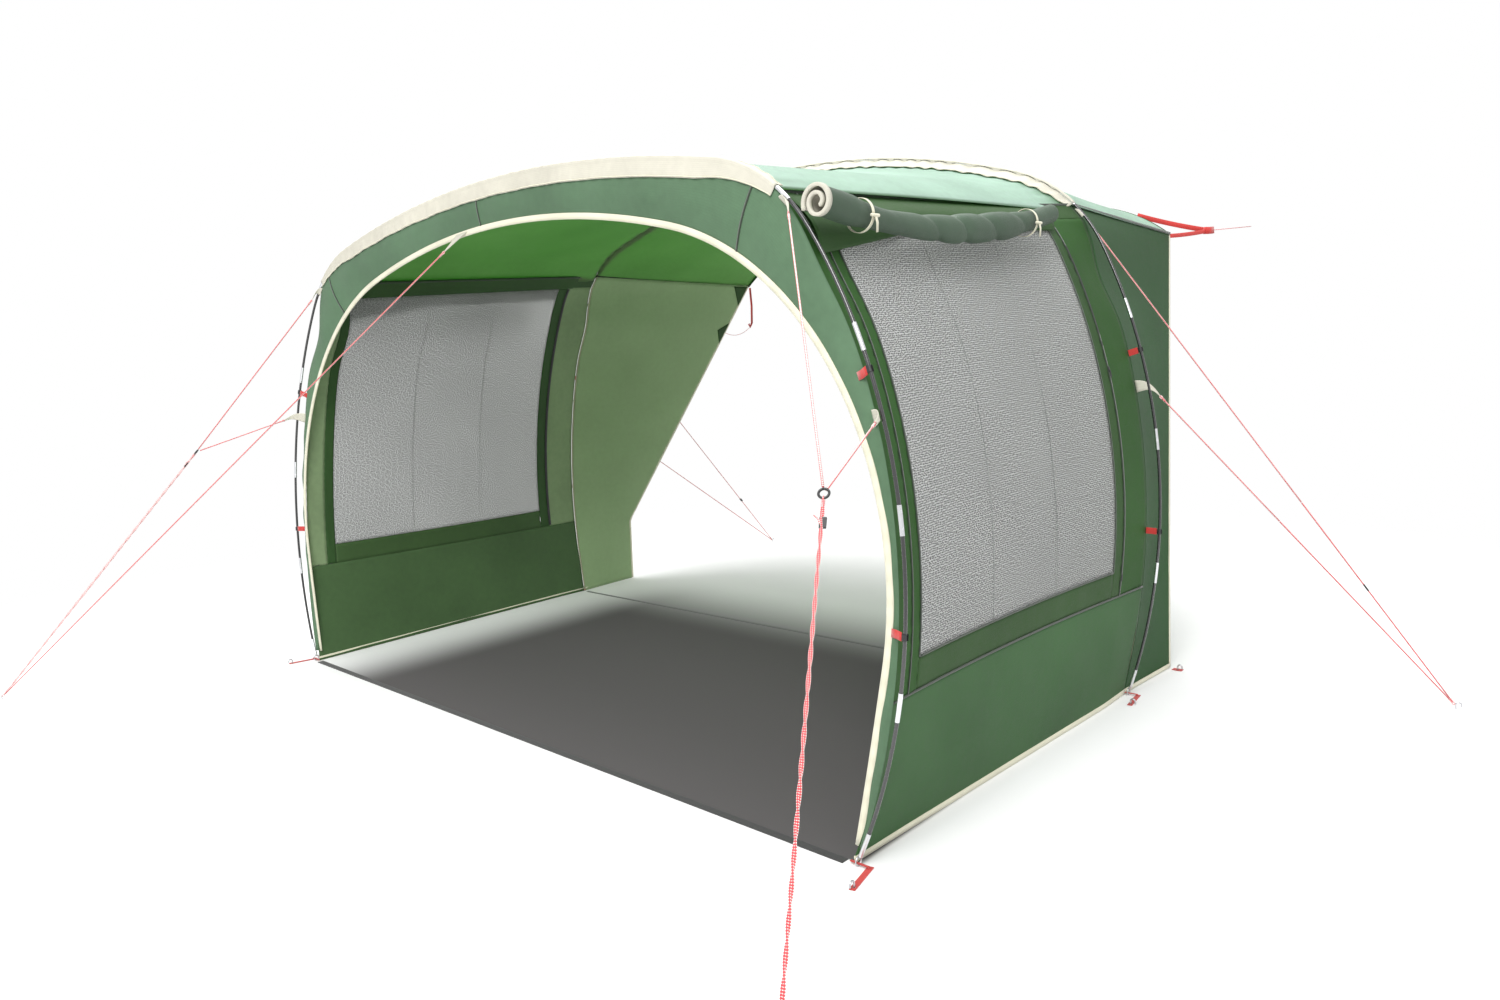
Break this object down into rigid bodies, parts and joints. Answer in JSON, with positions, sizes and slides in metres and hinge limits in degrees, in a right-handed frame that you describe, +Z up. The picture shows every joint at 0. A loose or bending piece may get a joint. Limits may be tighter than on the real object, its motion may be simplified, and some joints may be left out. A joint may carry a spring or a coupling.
{
  "type": "screen house",
  "caption": "Two-arch screen house with open ends, net side windows with rolled covers, a rear hood with tie straps, guy lines and pegs.",
  "frame": {"origin": "on the ground midway between the front arch's feet, on the underside of the front ground strap", "axes": "+X to the right seen from the front, +Y to the rear hood, +Z up"},
  "size_m": [5.1832, 4.7983, 2.5085],
  "materials": {
    "pole": "satin fibreglass",
    "ferrule": "bright drawn",
    "elastic": "braided",
    "steel": "zinc plated",
    "cream_tape": "polyester tape",
    "dark_cloth": "ripstop, dark olive",
    "green_cloth": "ripstop, grey green",
    "net": "fine insect net",
    "red_webbing": "woven webbing",
    "black_webbing": "woven webbing",
    "black_plastic": "moulded",
    "guy_cord": "flecked cord"
  },
  "bodies": {
    "ground": {"foot_webbing": "red_webbing", "front_ground_strap": "black_webbing", "rear_ground_strap": "black_webbing", "roof": "green_cloth", "right_window_mesh": "net", "left_window_mesh": "net", "right_window_border": "dark_cloth", "left_window_border": "dark_cloth", "right_lower_panel": "dark_cloth", "left_lower_panel": "dark_cloth", "hood_roof": "green_cloth", "right_hood_side": "green_cloth", "left_hood_side": "green_cloth", "hood_straps": "red_webbing", "right_cover_roll": "dark_cloth", "left_cover_roll": "dark_cloth", "cover_ties": "cream_tape", "upper_guy_lines": "guy_cord"},
    "front_arch": {"front_pole": "pole", "front_ferrules": "ferrule", "front_shock_cord": "elastic", "front_foot_pins": "steel", "front_sleeve": "cream_tape", "front_fascia": "dark_cloth", "front_binding": "cream_tape", "front_clips": "black_plastic", "front_clip_straps": "red_webbing", "front_guy_tabs": "cream_tape"},
    "rear_arch": {"rear_pole": "pole", "rear_ferrules": "ferrule", "rear_shock_cord": "elastic", "rear_foot_pins": "steel", "rear_sleeve": "cream_tape", "rear_clips": "black_plastic", "rear_clip_straps": "red_webbing", "rear_guy_tabs": "cream_tape", "zip_strips": "green_cloth", "zip_teeth": "black_plastic"},
    "front_right_tail": {"front_right_tail": "guy_cord"},
    "front_left_tail": {"front_left_tail": "guy_cord"},
    "rear_right_tail": {"rear_right_tail": "guy_cord"},
    "rear_left_tail": {"rear_left_tail": "guy_cord"},
    "front_right_runner": {"front_right_runner": "black_plastic"},
    "front_left_runner": {"front_left_runner": "black_plastic"},
    "rear_right_runner": {"rear_right_runner": "black_plastic"},
    "rear_left_runner": {"rear_left_runner": "black_plastic"},
    "right_upper_slider": {"right_upper_slider": "black_plastic"},
    "right_lower_slider": {"right_lower_slider": "black_plastic"},
    "left_upper_slider": {"left_upper_slider": "black_plastic"},
    "left_lower_slider": {"left_lower_slider": "black_plastic"},
    "front_right_peg": {"front_right_peg": "steel"},
    "front_left_peg": {"front_left_peg": "steel"},
    "rear_right_peg": {"rear_right_peg": "steel"},
    "rear_left_peg": {"rear_left_peg": "steel"},
    "hood_right_peg": {"hood_right_peg": "steel"},
    "hood_left_peg": {"hood_left_peg": "steel"},
    "front_right_guy_peg": {"front_right_guy_peg": "steel"},
    "front_left_guy_peg": {"front_left_guy_peg": "steel"},
    "rear_right_guy_peg": {"rear_right_guy_peg": "steel"},
    "rear_left_guy_peg": {"rear_left_guy_peg": "steel"}
  },
  "joints": [
    {"name": "arch_fold", "type": "hinge", "parent": "ground", "child": "front_arch", "pos_m": [0, 0.00092, 0.01458], "axis": [-1, 0, 0], "range_deg": [0, 80], "deforming": ["roof", "right_window_mesh", "left_window_mesh", "right_window_border", "left_window_border", "right_lower_panel", "left_lower_panel", "hood_roof", "right_hood_side", "left_hood_side", "hood_straps", "right_cover_roll", "left_cover_roll", "cover_ties", "upper_guy_lines"]},
    {"name": "rear_arch_fold", "type": "hinge", "parent": "ground", "child": "rear_arch", "pos_m": [0, 1.72161, 0.01524], "axis": [-1, 0, 0], "range_deg": [0, 80]},
    {"name": "front_right_guy_drop", "type": "hinge", "parent": "ground", "child": "front_right_tail", "pos_m": [2.4, -1.18, 0.01], "axis": [-0.8676, -0.4973, 0], "range_deg": [0, 44]},
    {"name": "front_left_guy_drop", "type": "hinge", "parent": "ground", "child": "front_left_tail", "pos_m": [-2.4, -1.18, 0.01], "axis": [-0.8676, 0.4973, 0], "range_deg": [0, 44]},
    {"name": "rear_right_guy_drop", "type": "hinge", "parent": "ground", "child": "rear_right_tail", "pos_m": [2.75, 2.22, 0.01], "axis": [0.328, -0.9447, 0], "range_deg": [0, 44]},
    {"name": "rear_left_guy_drop", "type": "hinge", "parent": "ground", "child": "rear_left_tail", "pos_m": [-1.78, 3.575, 0.01], "axis": [0.995, 0.1003, 0], "range_deg": [0, 30]},
    {"name": "front_right_runner_slide", "type": "slide", "parent": "front_right_tail", "child": "front_right_runner", "axis": [0.3268, -0.5702, -0.7537], "range_m": [-0.03, 0.5]},
    {"name": "front_left_runner_slide", "type": "slide", "parent": "front_left_tail", "child": "front_left_runner", "axis": [-0.3268, -0.5702, -0.7537], "range_m": [-0.03, 0.5]},
    {"name": "rear_right_runner_slide", "type": "slide", "parent": "rear_right_tail", "child": "rear_right_runner", "axis": [-0.5329, -0.185, 0.8257], "range_m": [-0.25, 0.3]},
    {"name": "rear_left_runner_slide", "type": "slide", "parent": "rear_left_tail", "child": "rear_left_runner", "axis": [0.071, -0.704, 0.7066], "range_m": [-0.25, 0.3]},
    {"name": "right_upper_zip", "type": "hinge", "parent": "rear_arch", "child": "right_upper_slider", "pos_m": [-0.51027, 1.55019, 0.73087], "axis": [0, -0.9992, 0.0401], "range_deg": [-9, 10]},
    {"name": "right_lower_zip", "type": "hinge", "parent": "rear_arch", "child": "right_lower_slider", "pos_m": [-0.51027, 1.55019, 0.73087], "axis": [0, -0.9992, 0.0401], "range_deg": [-1, 8]},
    {"name": "left_upper_zip", "type": "hinge", "parent": "rear_arch", "child": "left_upper_slider", "pos_m": [0.51027, 1.55019, 0.73087], "axis": [0, 0.9992, -0.0401], "range_deg": [-9, 10]},
    {"name": "left_lower_zip", "type": "hinge", "parent": "rear_arch", "child": "left_lower_slider", "pos_m": [0.51027, 1.55019, 0.73087], "axis": [0, 0.9992, -0.0401], "range_deg": [-1, 8]},
    {"name": "front_right_peg_pull", "type": "slide", "parent": "ground", "child": "front_right_peg", "axis": [0, 0, 1], "range_m": [0, 0.2]},
    {"name": "front_left_peg_pull", "type": "slide", "parent": "ground", "child": "front_left_peg", "axis": [0, 0, 1], "range_m": [0, 0.2]},
    {"name": "rear_right_peg_pull", "type": "slide", "parent": "ground", "child": "rear_right_peg", "axis": [0, 0, 1], "range_m": [0, 0.2]},
    {"name": "rear_left_peg_pull", "type": "slide", "parent": "ground", "child": "rear_left_peg", "axis": [0, 0, 1], "range_m": [0, 0.2]},
    {"name": "hood_right_peg_pull", "type": "slide", "parent": "ground", "child": "hood_right_peg", "axis": [0, 0, 1], "range_m": [0, 0.2]},
    {"name": "hood_left_peg_pull", "type": "slide", "parent": "ground", "child": "hood_left_peg", "axis": [0, 0, 1], "range_m": [0, 0.2]},
    {"name": "front_right_guy_peg_pull", "type": "slide", "parent": "ground", "child": "front_right_guy_peg", "axis": [0, 0, 1], "range_m": [0, 0.2]},
    {"name": "front_left_guy_peg_pull", "type": "slide", "parent": "ground", "child": "front_left_guy_peg", "axis": [0, 0, 1], "range_m": [0, 0.2]},
    {"name": "rear_right_guy_peg_pull", "type": "slide", "parent": "ground", "child": "rear_right_guy_peg", "axis": [0, 0, 1], "range_m": [0, 0.2]},
    {"name": "rear_left_guy_peg_pull", "type": "slide", "parent": "ground", "child": "rear_left_guy_peg", "axis": [0, 0, 1], "range_m": [0, 0.2]}
  ],
  "couplings": [
    {"joint": "rear_arch_fold", "follows": "arch_fold", "ratio": 1},
    {"joint": "front_right_guy_drop", "follows": "arch_fold", "ratio": 0.55},
    {"joint": "front_left_guy_drop", "follows": "arch_fold", "ratio": 0.55},
    {"joint": "rear_right_guy_drop", "follows": "arch_fold", "ratio": 0.55},
    {"joint": "rear_left_guy_drop", "follows": "arch_fold", "ratio": 0.375}
  ]
}
